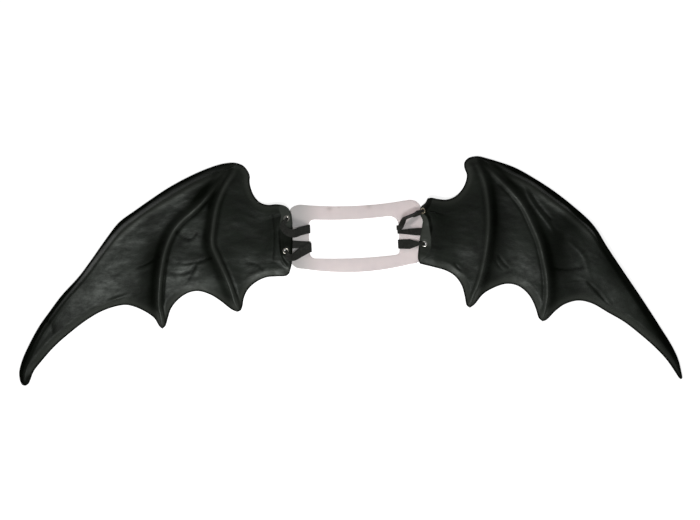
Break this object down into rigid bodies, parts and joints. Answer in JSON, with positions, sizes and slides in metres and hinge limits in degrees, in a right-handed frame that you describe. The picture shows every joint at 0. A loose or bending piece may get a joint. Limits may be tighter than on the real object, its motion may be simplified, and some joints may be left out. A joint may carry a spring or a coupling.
{
  "type": "bat wings",
  "caption": "Moulded costume bat wings laced with ribbon through eyelets to a flexible open-centred back plate.",
  "frame": {"origin": "middle of the footprint, on the surface that the wings lie on", "axes": "+X from the left wing of the picture towards the right one, +Y up the wearer's back, +Z off the surface"},
  "size_m": [1.0602, 0.367, 0.0223],
  "materials": {
    "wing_foam": "matte, dusty",
    "milky_plastic": "milky, satin",
    "eyelet_metal": "nickel plated",
    "ribbon_weave": "fine ribbed weave"
  },
  "bodies": {
    "root": {"left_wing": "wing_foam", "right_wing": "wing_foam", "back_plate": "milky_plastic", "eyelet_left_upper": "eyelet_metal", "eyelet_left_lower": "eyelet_metal", "eyelet_right_upper": "eyelet_metal", "eyelet_right_lower": "eyelet_metal", "ribbon_left_upper": "ribbon_weave", "ribbon_left_lower": "ribbon_weave", "ribbon_right_upper": "ribbon_weave", "ribbon_right_lower": "ribbon_weave"}
  },
  "joints": []
}
